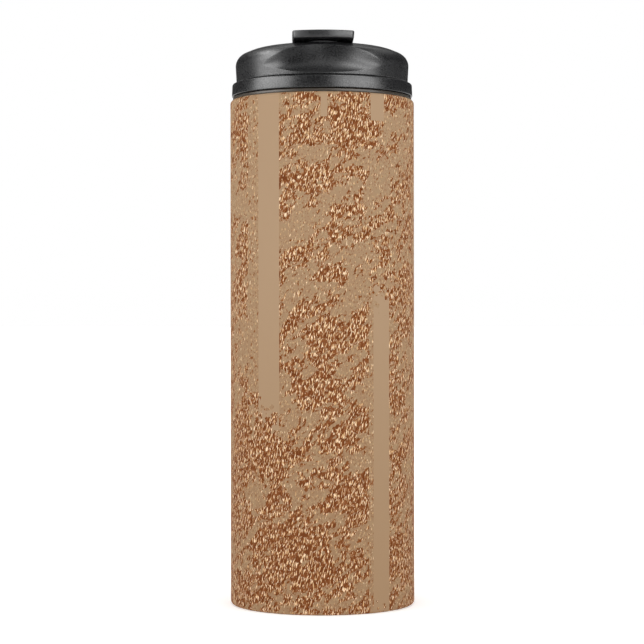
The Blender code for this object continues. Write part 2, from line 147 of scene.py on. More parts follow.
# Flip tab
AXLE = Vector(JOINTS["tab_flip"]["pos_m"])
TAB_OPEN = JOINTS["tab_flip"]["range_deg"][1]
TAB_RAKE = 14
TAB_LOW = 220.8 * MM
TAB_TOP = TAB[1].z
TAB_FRONT_R = -TAB[0].y
TAB_WIDTH = TAB[1].x - TAB[0].x
TAB_CORNER_R = 1.6 * MM
TAB_EDGE = 0.55 * MM
TAB_DRAFT = 0.02
BARREL_R = 2.7 * MM
POCKET_R = 3.2 * MM
PEG_R = 2.0 * MM
PEG_LOW = TAB_LOW - 2 * MM


# ---------------------------------------------------------------- meshes


def shade_by_angle(mesh, sharp):
    mesh.shade_smooth()
    mesh.set_sharp_from_angle(angle=math.radians(sharp))


def place(name, bm):
    """An object from a bmesh, its faces turned outwards, and smooth but for its sharp edges."""
    bmesh.ops.recalc_face_normals(bm, faces=bm.faces)
    mesh = bpy.data.meshes.new(name)
    bm.to_mesh(mesh)
    bm.free()
    shade_by_angle(mesh, SHARP)
    obj = bpy.data.objects.new(name, mesh)
    bpy.context.scene.collection.objects.link(obj)
    return obj


def arc(centre, radius, start, end, steps):
    """Points along an arc, with its angles in degrees."""
    angles = [math.radians(start + (end - start) * i / steps) for i in range(steps + 1)]
    return [(centre[0] + radius * math.cos(a), centre[1] + radius * math.sin(a)) for a in angles]


def rounded(corners, steps=5):
    """A closed outline from (across, up, rounding) corners, each replaced by an arc of its own radius."""
    points = []
    spots = [Vector((across, up)) for across, up, _ in corners]
    for i, (_, _, radius) in enumerate(corners):
        here = spots[i]
        if radius <= 0:
            points.append(tuple(here))
            continue
        back = (spots[i - 1] - here).normalized()
        ahead = (spots[(i + 1) % len(spots)] - here).normalized()
        half = back.angle(ahead) / 2
        reach = radius / math.tan(half)
        middle = (back + ahead).normalized()
        centre = here + middle * (radius / math.sin(half))
        first = here + back * reach - centre
        turn = first.angle_signed(here + ahead * reach - centre)
        for k in range(steps + 1):
            spot = first.copy()
            spot.rotate(Matrix.Rotation(-turn * k / steps, 2))
            points.append(tuple(centre + spot))
    return points


def turned(name, outline, segments=ROUND, centre=(0, 0)):
    """A solid turned about an upright axis from a closed outline of (radius, height) points."""
    bm = bmesh.new()
    verts = [bm.verts.new((radius, 0, height)) for radius, height in outline]
    sides = zip(verts, verts[1:] + verts[:1])
    edges = [bm.edges.new((a, b)) for a, b in sides if a.co.x > 0 or b.co.x > 0]
    turn = {"axis": (0, 0, 1), "cent": (0, 0, 0), "angle": FULL_TURN}
    bmesh.ops.spin(bm, geom=verts + edges, steps=segments, use_merge=True, **turn)
    bmesh.ops.remove_doubles(bm, verts=bm.verts, dist=SAME_POINT)
    bmesh.ops.translate(bm, verts=bm.verts, vec=(*centre, 0))
    return place(name, bm)


def prism(name, outline, low, high, axis):
    """A straight prism. The outline is (y, z) points for axis X, and (x, y) points for axis Z."""
    bm = bmesh.new()
    if axis == "X":
        corners = [Vector((low, a, b)) for a, b in outline]
        step = Vector((high - low, 0, 0))
    else:
        corners = [Vector((a, b, low)) for a, b in outline]
        step = Vector((0, 0, high - low))
    face = bm.faces.new([bm.verts.new(corner) for corner in corners])
    made = bmesh.ops.extrude_face_region(bm, geom=[face])["geom"]
    verts = [item for item in made if isinstance(item, bmesh.types.BMVert)]
    bmesh.ops.translate(bm, verts=verts, vec=step)
    return place(name, bm)


def crossbar(name, radius, low_x, high_x, segments=32):
    """A round bar along X on the tab's axle line."""
    outline = [(AXLE.y + a, AXLE.z + b) for a, b in arc((0, 0), radius, 0, 360, segments)[:-1]]
    return prism(name, outline, low_x, high_x, "X")


def upright_bar(name, radius, low, high, y, segments=SMALL_ROUND):
    """A round bar that stands on the line x = 0."""
    return turned(name, [(0, high), (radius, high), (radius, low), (0, low)], segments, (0, y))


def put_in_order(mesh):
    """Lists points and faces by their places, because a Boolean lists them differently in each run."""
    places = [tuple(vert.co) for vert in mesh.vertices]
    order = sorted(range(len(places)), key=lambda k: [round(part, 7) for part in places[k]])
    rank = {old: new for new, old in enumerate(order)}
    faces = []
    for face in mesh.polygons:
        corners = [rank[k] for k in face.vertices]
        first = corners.index(min(corners))
        faces.append(corners[first:] + corners[:first])
    mesh.clear_geometry()
    mesh.from_pydata([places[k] for k in order], [], sorted(faces))


def apply_modifiers(obj, sharp):
    """Turns the modifiers' result into the object's own mesh."""
    bpy.context.view_layer.update()
    graph = bpy.context.evaluated_depsgraph_get()
    mesh = bpy.data.meshes.new_from_object(obj.evaluated_get(graph))
    put_in_order(mesh)
    obj.modifiers.clear()
    obj.data = mesh
    shade_by_angle(mesh, sharp)


def combine(target, others, operation, sharp=SHARP):
    """Booleans the other shapes into the target, and removes them."""
    for other in others:
        modifier = target.modifiers.new(other.name, "BOOLEAN")
        modifier.operation = operation
        modifier.solver = "EXACT"
        modifier.object = other
    apply_modifiers(target, sharp)
    for other in others:
        bpy.data.objects.remove(other)


def soften(obj, width, segments, angle=32):
    """Rounds every edge sharper than the angle, which is in degrees."""
    modifier = obj.modifiers.new("soften", "BEVEL")
    modifier.width = width
    modifier.segments = segments
    modifier.limit_method = "ANGLE"
    modifier.angle_limit = math.radians(angle)
    apply_modifiers(obj, SOFTENED_SHARP)


def thread_ridge(name, wall_r, crest_r, low, start, sweep):
    """One helical ridge with a softly rounded crest, sinking into its wall at both ends."""
    foot_half = 1.2 * MM
    shoulder_half = 0.75 * MM
    crest_half = 0.4 * MM
    shoulder_drop = 0.25 * MM
    steps_a_turn = 120
    fading_steps = 9
    steps = round(sweep / FULL_TURN * steps_a_turn)
    outward = math.copysign(1, crest_r - wall_r)
    buried = wall_r - outward * 0.3 * MM
    least = buried + outward * 0.1 * MM
    bm = bmesh.new()
    rows = []
    for i in range(steps + 1):
        angle = start + sweep * i / steps
        centre = low + THREAD_LEAD * sweep * i / steps / FULL_TURN
        height = math.sin(min(1, i / fading_steps, (steps - i) / fading_steps) * math.pi / 2)
        crest = least + (crest_r - least) * height
        shoulder = crest - outward * shoulder_drop * height
        section = [
            (buried, -foot_half),
            (shoulder, -shoulder_half),
            (crest, -crest_half),
            (crest, crest_half),
            (shoulder, shoulder_half),
            (buried, foot_half),
        ]
        spots = [(r * math.cos(angle), r * math.sin(angle), centre + z) for r, z in section]
        rows.append([bm.verts.new(spot) for spot in spots])
    count = len(section)
    for a, b in zip(rows, rows[1:]):
        for k in range(count):
            bm.faces.new((a[k], b[k], b[(k + 1) % count], a[(k + 1) % count]))
    bm.faces.new(rows[0])
    bm.faces.new(rows[-1][::-1])
    return place(name, bm)


def thread(name, wall_r, crest_r, low, first, sweep):
    """The ridges of a thread with several starts, the first of them at the given angle."""
    starts = [first + FULL_TURN * k / THREAD_STARTS for k in range(THREAD_STARTS)]
    return [thread_ridge(name, wall_r, crest_r, low, start, sweep) for start in starts]


# ---------------------------------------------------------------- nodes

SCRATCHES_A_RADIAN = 2.0
SCRATCHES_A_MM = 9.0


class Nodes:
    """A node tree in the making: short calls for the nodes that the finishes and the studio share."""

    def __init__(self, tree):
        self.tree = tree

    def add(self, kind, **settings):
        node = self.tree.nodes.new(kind)
        for key, value in settings.items():
            setattr(node, key, value)
        return node

    def feed(self, socket, value):
        if isinstance(value, bpy.types.NodeSocket):
            self.tree.links.new(value, socket)
        else:
            socket.default_value = value

    def feed_all(self, node, *values):
        """Feeds the node's first sockets in their order, and gives its first output."""
        for socket, value in zip(node.inputs, values):
            self.feed(socket, value)
        return node.outputs[0]

    def math(self, operation, *values):
        return self.feed_all(self.add("ShaderNodeMath", operation=operation), *values)

    def scaled(self, vector, factor):
        node = self.add("ShaderNodeVectorMath", operation="SCALE")
        self.feed(node.inputs[0], vector)
        self.feed(node.inputs["Scale"], factor)
        return node.outputs[0]

    def split(self, vector):
        node = self.add("ShaderNodeSeparateXYZ")
        self.feed(node.inputs[0], vector)
        return node.outputs

    def join(self, x, y, z):
        return self.feed_all(self.add("ShaderNodeCombineXYZ"), x, y, z)

    def noise(self, vector, scale=1.0, detail=2.0, roughness=0.5, distortion=0.0):
        node = self.add("ShaderNodeTexNoise")
        self.feed(node.inputs["Vector"], vector)
        self.feed(node.inputs["Scale"], scale)
        self.feed(node.inputs["Detail"], detail)
        self.feed(node.inputs["Roughness"], roughness)
        self.feed(node.inputs["Distortion"], distortion)
        return node.outputs["Fac"]

    def span(self, value, low, high, to_low=0.0, to_high=1.0):
        """Leads smoothly from to_low, where the value is low, to to_high, where it is high."""
        node = self.add("ShaderNodeMapRange", interpolation_type="SMOOTHSTEP")
        return self.feed_all(node, value, low, high, to_low, to_high)

    def mix(self, factor, first, second, kind="RGBA"):
        node = self.add("ShaderNodeMix", data_type=kind)
        self.feed(node.inputs["Factor"], factor)
        self.feed(node.inputs["A"], first)
        self.feed(node.inputs["B"], second)
        return node.outputs["Result"]

    def mix_number(self, factor, first, second):
        return self.mix(factor, first, second, "FLOAT")

    def ramp(self, value, stops):
        node = self.add("ShaderNodeValToRGB")
        self.feed(node.inputs["Fac"], value)
        points = node.color_ramp.elements
        while len(points) < len(stops):
            points.new(0.5)
        for point, (position, colour) in zip(points, stops):
            point.position = position
            point.color = colour
        return node.outputs["Color"]

    def angle_from_front(self, x, y):
        """The angle about the upright axis, in radians, from the front and growing to the right."""
        return self.math("ARCTAN2", x, self.math("MULTIPLY", y, -1.0))


class Finish(Nodes):
    """A material in the making, with its places in metres and in millimetres."""

    def __init__(self, name):
        self.material = bpy.data.materials.new(name)
        self.material.use_nodes = True
        super().__init__(self.material.node_tree)
        self.shader = self.tree.nodes["Principled BSDF"]
        self.place = self.add("ShaderNodeTexCoord").outputs["Object"]
        self.mm = self.scaled(self.place, 1 / MM)

    def set(self, **values):
        """Feeds the shader's sockets, named with underscores for spaces."""
        for key, value in values.items():
            self.feed(self.shader.inputs[key.replace("_", " ")], value)

    def bump(self, height, distance, strength, under=None):
        node = self.add("ShaderNodeBump")
        self.feed(node.inputs["Strength"], strength)
        self.feed(node.inputs["Distance"], distance)
        self.feed(node.inputs["Height"], height)
        if under:
            self.feed(node.inputs["Normal"], under)
        return node.outputs["Normal"]

    def radius_and_height(self):
        """The distance from the upright axis and the height, in mm."""
        x, y, z = self.split(self.mm)
        squares = self.math("ADD", self.math("MULTIPLY", x, x), self.math("MULTIPLY", y, y))
        return self.math("SQRT", squares), z

    def scratches(self, pattern):
        """Scratches that run round the upright axis on a wall, or in rings about it on a flat face."""
        x, y, _ = self.split(self.mm)
        radius, height = self.radius_and_height()
        angle = self.math("MULTIPLY", self.math("ARCTAN2", y, x), SCRATCHES_A_RADIAN)
        across = self.math("MULTIPLY", radius if pattern == "rings" else height, SCRATCHES_A_MM)
        return self.noise(self.join(angle, across, 0.0), detail=4, roughness=0.7)


def screen(red, green, blue):
    """A linear colour from the 0 to 255 numbers that a screen shows."""
    shares = [level / 255 for level in (red, green, blue)]
    return (*[((share + 0.055) / 1.055) ** 2.4 if share > 0.04 else share / 12.92 for share in shares], 1)


def shade(colour, factor):
    """The colour made darker or lighter."""
    return (*[channel * factor for channel in colour[:3]], 1)


# ---------------------------------------------------------------- the printed wrap

GROUND = screen(160, 131, 102)
GROUND_LOW = screen(149, 119, 90)
OLIVE = screen(159, 134, 104)
STRIP = screen(167, 140, 112)
STRIP_LOW = screen(157, 129, 100)
RUST = screen(131, 79, 46)
DEEP_RUST = screen(108, 60, 32)
GOLD = screen(206, 166, 120)
CREAM = screen(240, 212, 176)
STEEL = screen(196, 188, 178)

# How far inside the body's radius the print ends, on the rolled edges at the mouth and the foot.
PRINT_EDGE = 0.9 * MM

# The print's grains: mm across and up, the degrees that they lean, and the place taken in the noise.
DRIFT_GRAIN = (19, 10.5, 42, (11, 4, 0))
BREAK_GRAIN = (4.6, 2.6, 40, (2, 9, 0))
FLAKE_GRAIN = (1.15, 2.6, -17, (0, 0, 0))
STROKE_GRAIN = (0.42, 1.9, -12, (3, 8, 0))
TINT_GRAIN = (0.9, 1.6, 20, (5, 1, 0))
WORN_GRAIN = (0.6, 1.2, -20, (7, 3, 0))
TARNISH_GRAIN = (2.6, 3.6, 30, (1, 6, 0))

# Plain strips where the print has no flakes: first and last angle in degrees from the front, low and
# high in mm.
PLAIN_STRIPS = [
    (-43.5, -28, 76, 201),
    (31.3, 43.7, -1, 122),
    (29.5, 39.5, 189, 201),
    (-2, 2, 190, 201),
    (-118, -107, -1, 150),
    (104, 117, 60, 201),
    (-160, -150, 90, 201),
    (148, 158, -1, 96),
    (174, 181, -1, 201),
    (-181, -177, -1, 201),
]

# Beside some plain strips the flakes are sparse.
SPARSE_STRIPS = [
    (-53, -43.5, 85, 196),
    (28, 31.3, -1, 122),
    (96, 104, 60, 201),
    (-165, -160, 90, 201),
]

# Where the drifts run together into a rusty mass, or thin out to bare ground: degrees
# and millimetres of the middle, its reach in millimetres, and how strongly it pulls.
GATHERINGS = [
    (-40, 62, 21, 0.11),
    (-60, 187, 14, 0.07),
    (-15, 166, 14, 0.08),
    (17, 192, 15, 0.08),
    (-5, 111, 13, 0.08),
    (62, 123, 15, 0.09),
    (-8, 86, 14, 0.07),
    (-17, 24, 20, 0.10),
    (52, 19, 14, 0.09),
    (-75, 138, 12, 0.07),
    (-20, 148, 14, -0.09),
    (36, 163, 15, -0.09),
    (27, 126, 11, -0.07),
    (-55, 100, 14, -0.09),
    (-10, 46, 10, -0.06),
    (120, 60, 30, 0.09),
    (-150, 150, 26, 0.09),
    (160, 120, 22, -0.09),
    (-110, 80, 20, -0.08),
]


def wrapped(f):
    """The angle from the front, the place on the unrolled wrap in mm, and the height in mm."""
    x, y, z = f.split(f.mm)
    angle = f.angle_from_front(x, y)
    return angle, f.join(f.math("MULTIPLY", angle, BODY_R / MM), z, 0.0), z


def inside_strips(f, strips, angle, z):
    """1 inside the upright strips and 0 elsewhere."""
    found = 0.0
    for first, last, low, high in strips:
        inside = 1.0
        for value, start, end in ((angle, math.radians(first), math.radians(last)), (z, low, high)):
            past = f.math("GREATER_THAN", value, start)
            before = f.math("LESS_THAN", value, end)
            inside = f.math("MULTIPLY", inside, f.math("MULTIPLY", past, before))
        found = f.math("MAXIMUM", found, inside)
    return found


def grains(f, flat, grain, **settings):
    """Noise on the unrolled wrap, with the size, lean and place of one of the grains above."""
    across, up, lean, shift = grain
    node = f.add("ShaderNodeMapping", vector_type="TEXTURE")
    f.feed(node.inputs["Vector"], flat)
    node.inputs["Location"].default_value = shift
    node.inputs["Rotation"].default_value = (0, 0, math.radians(lean))
    node.inputs["Scale"].default_value = (across, up, 1)
    return f.noise(node.outputs[0], **settings)


def drifts(f, angle, flat, z):
    """How thickly the flakes lie, from 0 on open ground to 1 inside the diagonal drifts."""
    drift = grains(f, flat, DRIFT_GRAIN, detail=4, roughness=0.72, distortion=0.5)
    drift = f.math("ADD", drift, f.span(z, 10, 110, 0.03, 0.0))
    for degrees, height, reach, pull in GATHERINGS:
        away = f.add("ShaderNodeVectorMath", operation="DISTANCE")
        f.feed(away.inputs[0], flat)
        away.inputs[1].default_value = (math.radians(degrees) * BODY_R / MM, height, 0)
        drift = f.math("ADD", drift, f.span(away.outputs["Value"], 0, reach, pull, 0.0))
    breaks = grains(f, flat, BREAK_GRAIN, detail=3, roughness=0.6)
    drift = f.math("ADD", drift, f.span(breaks, 0.3, 0.7, -0.085, 0.08))
    sparse = inside_strips(f, SPARSE_STRIPS, angle, z)
    return f.math("MULTIPLY", f.span(drift, 0.45, 0.53), f.span(sparse, 0.0, 1.0, 1.0, 0.35))


def bare_ground(f, flat, z, tarnish):
    """The tan ground: darker towards the foot, tarnished in patches, worn to gold and rust in specks."""
    worn = grains(f, flat, WORN_GRAIN, detail=2)
    ground = f.mix(f.span(z, 10, 190), GROUND_LOW, GROUND)
    ground = f.mix(f.span(tarnish, 0.45, 0.65, 0.0, 0.6), ground, OLIVE)
    ground = f.mix(f.span(worn, 0.60, 0.67, 0.0, 0.6), ground, GOLD)
    return f.mix(f.span(worn, 0.40, 0.34, 0.0, 0.8), ground, RUST)


def foil_print():
    """The wrap: diagonal drifts of rust flakes on a tan ground, with upright gold and cream strokes."""
    f = Finish("foil_print")
    angle, flat, z = wrapped(f)
    tarnish = grains(f, flat, TARNISH_GRAIN, detail=2)
    cluster = drifts(f, angle, flat, z)

    thick = f.span(cluster, 0.0, 1.0, -0.14, f.span(z, 20, 150, 0.18, 0.145))
    flakes = grains(f, flat, FLAKE_GRAIN, detail=3, roughness=0.58, distortion=0.3)
    flakes = f.math("ADD", flakes, thick)
    flake = f.span(flakes, 0.515, 0.54)
    rust = f.mix(f.span(flakes, 0.60, 0.72), RUST, DEEP_RUST)

    thick = f.span(cluster, 0.0, 1.0, -0.11, f.span(z, 20, 150, -0.008, 0.004))
    strokes = grains(f, flat, STROKE_GRAIN, detail=1, roughness=0.5, distortion=0.5)
    stroke = f.span(f.math("ADD", strokes, thick), 0.555, 0.59)
    tint = grains(f, flat, TINT_GRAIN, detail=1)
    light = f.mix(f.span(tint, 0.42, 0.60), GOLD, CREAM)

    printed = f.mix(stroke, f.mix(flake, bare_ground(f, flat, z, tarnish), rust), light)
    strip = f.mix(f.span(z, 10, 150), STRIP_LOW, STRIP)
    ragged = f.math("ADD", z, f.span(tarnish, 0.25, 0.75, -9.0, 9.0))
    plain = inside_strips(f, PLAIN_STRIPS, angle, f.mix_number(f.span(z, 150, 180), ragged, z))

    radius, _ = f.radius_and_height()
    bare = f.math("LESS_THAN", radius, (BODY_R - PRINT_EDGE) / MM)
    steel = f.mix(f.scratches("rings"), shade(STEEL, 0.86), STEEL)
    f.set(Base_Color=f.mix(bare, f.mix(plain, printed, strip), steel), Metallic=bare)
    f.set(Roughness=f.mix_number(bare, f.span(flake, 0.0, 1.0, 0.62, 0.55), 0.34))
    f.set(Specular_IOR_Level=0.01)
    raised = f.math("MULTIPLY", f.math("MAXIMUM", flake, stroke), f.math("SUBTRACT", 1.0, plain))
    raised = f.math("MULTIPLY", raised, f.math("SUBTRACT", 1.0, bare))
    f.set(Normal=f.bump(raised, 0.01 * MM, 0.3))
    return f.material


# ---------------------------------------------------------------- other materials


def black_plastic(name, colour, roughness):
    """Satin moulded plastic: a fine spark-eroded grain that glitters in the highlights."""
    f = Finish(name)
    fine = f.noise(f.mm, scale=4.0, detail=2)
    pits = f.noise(f.mm, scale=1.7, detail=2, roughness=0.7)
    broad = f.noise(f.mm, scale=0.12, detail=3)
    f.set(Base_Color=f.mix(broad, shade(colour, 0.85), shade(colour, 1.15)))
    sheen = f.span(pits, 0.3, 0.7, roughness - 0.06, roughness + 0.08)
    f.set(Roughness=f.math("ADD", sheen, f.span(broad, 0.3, 0.7, -0.02, 0.02)))
    grain = f.bump(fine, 0.02 * MM, 0.35)
    f.set(Normal=f.bump(pits, 0.05 * MM, 0.35, grain))
    return f.material


def brushed_steel(name, colour, roughness, pattern="round"):
    """Steel with fine scratches and a few smudges."""
    f = Finish(name)
    lines = f.scratches(pattern)
    smudge = f.noise(f.mm, scale=0.2, detail=2)
    f.set(Base_Color=f.mix(lines, shade(colour, 0.86), colour), Metallic=1.0)
    scratched = f.span(lines, 0.3, 0.7, roughness - 0.06, roughness + 0.08)
    f.set(Roughness=f.math("ADD", scratched, f.span(smudge, 0.3, 0.7, -0.03, 0.05)))
    f.set(Normal=f.bump(lines, 0.01 * MM, 0.3))
    return f.material


def cup_steel():
    """Brushed steel inside; outside, the rolled lip has painted shade and dark reflection in dull
    grey-brown.
    """
    f = Finish("brushed_cup_steel")
    lines = f.scratches("round")
    radius, z = f.radius_and_height()
    cup_r = (LINER_R + LINER_WALL) / MM
    outside = f.span(radius, cup_r, cup_r + 0.5)
    # Painted shade and painted dark reflection: the lip's outside turns a non-metal grey-brown above the
    # shell.
    lip_painted_shade = f.math("MULTIPLY", outside, f.math("GREATER_THAN", z, LIP_LOW / MM - 0.2))
    f.set(Base_Color=f.mix(lip_painted_shade, f.mix(lines, shade(STEEL, 0.86), STEEL), screen(64, 58, 51)))
    f.set(Metallic=f.math("SUBTRACT", 1.0, lip_painted_shade), Specular_IOR_Level=0.3)
    f.set(Roughness=f.span(lines, 0.3, 0.7, 0.24, 0.38), Normal=f.bump(lines, 0.01 * MM, 0.3))
    return f.material


def silicone(name, colour):
    """Soft matte silicone with faint dust and moulding haze."""
    f = Finish(name)
    haze = f.noise(f.mm, scale=0.9, detail=4, roughness=0.6)
    skin = f.noise(f.mm, scale=6.0, detail=2)
    f.set(Base_Color=f.mix(haze, shade(colour, 0.75), shade(colour, 1.25)))
    f.set(Roughness=f.span(haze, 0.3, 0.7, 0.5, 0.68), Specular_IOR_Level=0.4)
    f.set(Normal=f.bump(skin, 0.02 * MM, 0.4))
    return f.material


def foam():
    """Pale closed-cell foam."""
    f = Finish("cell_foam")
    cells = f.add("ShaderNodeTexVoronoi")
    f.feed(cells.inputs["Vector"], f.mm)
    f.feed(cells.inputs["Scale"], 1.1)
    wall = cells.outputs["Distance"]
    f.set(Base_Color=f.mix(wall, screen(205, 203, 196), screen(238, 237, 230)), Roughness=0.9)
    f.set(Normal=f.bump(wall, 0.3 * MM, 0.6))
    return f.material


def crinkled_foil():
    """Thin copper foil, creased by hand."""
    f = Finish("crinkled_copper")
    crinkle = f.noise(f.mm, scale=0.25, detail=4, roughness=0.6, distortion=1.2)
    f.set(Base_Color=f.mix(crinkle, screen(168, 96, 62), screen(232, 160, 118)), Metallic=1.0)
    f.set(Roughness=f.span(crinkle, 0.3, 0.7, 0.2, 0.38), Normal=f.bump(crinkle, 0.6 * MM, 0.7))
    return f.material


def powder_metal(name, dark, light, roughness, metallic):
    """Gritty metal, pressed or melted."""
    f = Finish(name)
    grit = f.noise(f.mm, scale=5.0, detail=3, roughness=0.7)
    f.set(Base_Color=f.mix(grit, dark, light), Metallic=metallic)
    f.set(Roughness=f.span(grit, 0.3, 0.7, roughness - 0.08, roughness + 0.08))
    f.set(Normal=f.bump(grit, 0.08 * MM, 0.6))
    return f.material


# ---------------------------------------------------------------- vessel


def printed_shell():
    """The outer tube: rolled foot, straight side, and a small rounded shoulder turned in to the mouth."""
    bend = BODY_R - SHELL_BEND
    shoulder = (bend, SHELL_TOP - SHELL_BEND)
    heel = (bend, SHELL_BEND)
    neck = LINER_R + LINER_WALL + GAP
    foot = COVER[1].x + GAP
    foot_bend = 0.8 * MM
    foot_top = 2.4 * MM
    rows = 12
    outline = [(neck, SHELL_TOP), (bend, SHELL_TOP)]
    outline += arc(shoulder, SHELL_BEND, 84, 0, 12)
    outline += [(BODY_R, SHELL_TOP * k / rows) for k in range(rows - 1, 0, -1)]
    outline += arc(heel, SHELL_BEND, 0, -90, 12)
    outline += arc((foot + foot_bend, foot_bend), foot_bend, -90, -180, 8)
    outline += [(foot, foot_top), (foot + SHELL_WALL, foot_top), (foot + SHELL_WALL, foot_bend)]
    outline += arc(heel, SHELL_BEND - SHELL_WALL, -90, 0, 6)
    outline += arc(shoulder, SHELL_BEND - SHELL_WALL, 0, 90, 6)
    outline += [(neck, SHELL_TOP - SHELL_WALL)]
    return turned("printed_shell", outline)


def steel_cup():
    """The inner cup: rolled lip, mouth thread, straight wall and rounded floor."""
    low = LINER[0].z
    floor = low + LINER_WALL
    corner = (LINER_R - LINER_CORNER_R, floor + LINER_CORNER_R)
    roll = (LIP_TOP - LIP_LOW) / 2
    edge = 0.1 * MM
    outline = arc((LINER_R + roll, LIP_TOP - roll), roll, 180, 90, 8)
    outline += arc((LIP_R - roll, LIP_TOP - roll), roll, 90, 0, 8)
    outline += arc((LIP_R - edge, LIP_LOW + edge), edge, 0, -90, 3)
    outline += [(LINER_R + LINER_WALL, LIP_LOW)]
    outline += arc(corner, LINER_CORNER_R + LINER_WALL, 0, -90, 14)
    outline += [(0, low), (0, floor)]
    outline += arc(corner, LINER_CORNER_R, -90, 0, 14)
    cup = turned("steel_cup", outline)
    ridges = thread("mouth_ridge", LINER_R, MOUTH_RIDGE_R, MOUTH_RIDGE_LOW, 0, MOUTH_RIDGE_SWEEP)
    combine(cup, ridges, "UNION")
    return cup


def foot_cover():
    """The thin disc in the foot: a shallow pressed ring and a turned-up edge."""
    low, high = COVER[0].z, COVER[1].z
    radius = COVER[1].x
    floor = low + 0.5 * MM
    ring_r = 23.6 * MM
    ring_half = 0.9 * MM
    outline = [(0, floor), (29 * MM, floor), (29.4 * MM, high), (radius, high)]
    outline += [(radius, low + 0.4 * MM), (radius - 0.4 * MM, low), (ring_r + ring_half, low)]
    outline += arc((ring_r, low - 0.55 * MM), 1.0 * MM, 35, 145, 8)
    outline += [(ring_r - ring_half, low), (0, low)]
    return turned("foot_cover", outline)


# ---------------------------------------------------------------- lid ring and plug


def lid_ring():
    """The collar: a satin ring outside, the gasket's groove and the plug's thread below."""
    low, high = COLLAR[0].z, COLLAR[1].z
    ring_r = COLLAR[1].x
    ring_taper = 0.2 * MM
    spigot_wall = 2 * MM
    gasket_low = GASKET[0].z - GAP
    groove_r = PLUG_R - 0.5 * MM
    flange_r = PLUG_R + 1.1 * MM
    flange_low = gasket_low - 0.9 * MM
    fine, soft, round_end = 0.2 * MM, 0.3 * MM, 0.8 * MM
    corners = [
        (SPIGOT_R - spigot_wall, high, soft),
        (SPIGOT_R, high, soft),
        (SPIGOT_R, RING_TOP, 0),
        (ring_r - ring_taper, RING_TOP, 0.7 * MM),
        (ring_r, RING_LOW, soft),
        (groove_r, RING_LOW, 0),
        (groove_r, gasket_low, 0),
        (flange_r, gasket_low, soft),
        (flange_r, flange_low, soft),
        (PLUG_R, flange_low - 0.6 * MM, soft),
        (PLUG_R, low, round_end),
        (PLUG_COVER[1].x + GAP, low, fine),
    ]
    ring = turned("lid_ring", rounded(corners))
    place_and_turn = (PLUG_RIDGE_LOW, PLUG_RIDGE_FIRST, PLUG_RIDGE_SWEEP)
    combine(ring, thread("plug_ridge", PLUG_R, PLUG_RIDGE_R, *place_and_turn), "UNION")
    return ring


def ribbed_gasket():
    """A silicone ring with two soft rounded ribs."""
    low, high = GASKET[0].z, GASKET[1].z
    inner = PLUG_R - 0.2 * MM
    rib_r = 0.7 * MM
    valley = GASKET[1].x - 0.8 * MM
    outline = [(inner, high), (valley, high)]
    for share in (0.75, 0.25):
        middle = low + (high - low) * share
        outline += arc((GASKET[1].x - rib_r, middle), rib_r, 75, -75, 8)
    outline += [(valley, low), (inner, low)]
    return turned("ribbed_gasket", outline)


def duct_cutter(y, radius, low, high):
    """A bar that cuts one duct, flared where it comes out below."""
    flare = 0.5 * MM
    past = 1 * MM
    outline = [(0, high + past), (radius, high + past), (radius, low + flare)]
    outline += arc((radius + flare, low + flare), flare, 180, 270, 6)[1:]
    outline += [(radius + flare, low - past), (0, low - past)]
    return turned("bore", outline, SMALL_ROUND, (0, y))


def plug_floor():
    """The plug's bottom disc with its two ducts, whose lower mouths are rounded."""
    low, high = PLUG_COVER[0].z, PLUG_COVER[1].z
    radius = PLUG_COVER[1].x
    top = low + 1.6 * MM
    duct_low = low + 0.5 * MM
    ducts = ((DRINK_Y, *DRINK_DUCT), (VENT_Y, *VENT_DUCT))
    corners = [(0, top, 0), (radius, top, 0), (radius, low, 0.4 * MM), (0, low, 0)]
    cover = turned("plug_floor", rounded(corners))
    combine(cover, [upright_bar("duct", outer, duct_low, high, y) for y, _, outer in ducts], "UNION")
    combine(cover, [duct_cutter(y, inner, low, high) for y, inner, _ in ducts], "DIFFERENCE")
    return cover


# ---------------------------------------------------------------- cap


def shoulder_end():
    """Where the shoulder's arc hands over to the dome, as (radius, height)."""
    turn = math.radians(SHOULDER_TURN)
    return CAP_R - SHOULDER_R + SHOULDER_R * math.cos(turn), SHOULDER_Z + SHOULDER_R * math.sin(turn)


def dome_height(radius):
    """The cap's top: flat in the middle, and falling ever faster to the shoulder."""
    reach, end_z = shoulder_end()
    return CAP_TOP - (CAP_TOP - end_z) * (radius / reach) ** DOME_POWER


def cap_side():
    """The outer side from the middle of the dome to the seam: close points, and the way down to each."""
    reach, _ = shoulder_end()
    dome_steps = 90
    edge = 0.3 * MM
    radii = [reach * math.sin(math.pi / 2 * k / dome_steps) for k in range(dome_steps)]
    side = [(radius, dome_height(radius)) for radius in radii]
    side += arc((CAP_R - SHOULDER_R, SHOULDER_Z), SHOULDER_R, SHOULDER_TURN, 0, 60)
    side += arc((CAP_LOW_R - edge, CAP_LOW + edge), edge, -3, -90, 4)
    side = [Vector(point) for point in side]
    ways = [0.0]
    for a, b in zip(side, side[1:]):
        ways.append(ways[-1] + (b - a).length)
    return side, ways


def point_at(side, ways, way):
    """The point on the cap's outer side at a way down from the middle of the dome."""
    k = min(max(bisect.bisect_right(ways, way), 1), len(ways) - 1)
    share = (way - ways[k - 1]) / (ways[k] - ways[k - 1])
    return side[k - 1].lerp(side[k], share)


def recess_edges(angle):
    """The ways down at which the lip recess begins and ends at an angle.

    They close to the tips of a lens. Past the tips, where nothing is hollow, they only set the spacing
    of the rows, and part again to what they are in the middle.
    """
    share = abs(angle) / RECESS_HALF
    if share > 1:
        parting = 1 / 3
        top_share = bottom_share = max(0.0, 1 - (share - 1) / parting)
    else:
        top_share, bottom_share = share**RECESS_TOP_POWER, share**RECESS_BOTTOM_POWER
    top = RECESS_TOP + (RECESS_TIP - RECESS_TOP) * top_share
    bottom = RECESS_BOTTOM - (RECESS_BOTTOM - RECESS_TIP) * bottom_share
    return top, max(bottom, top + RECESS_LEAST)


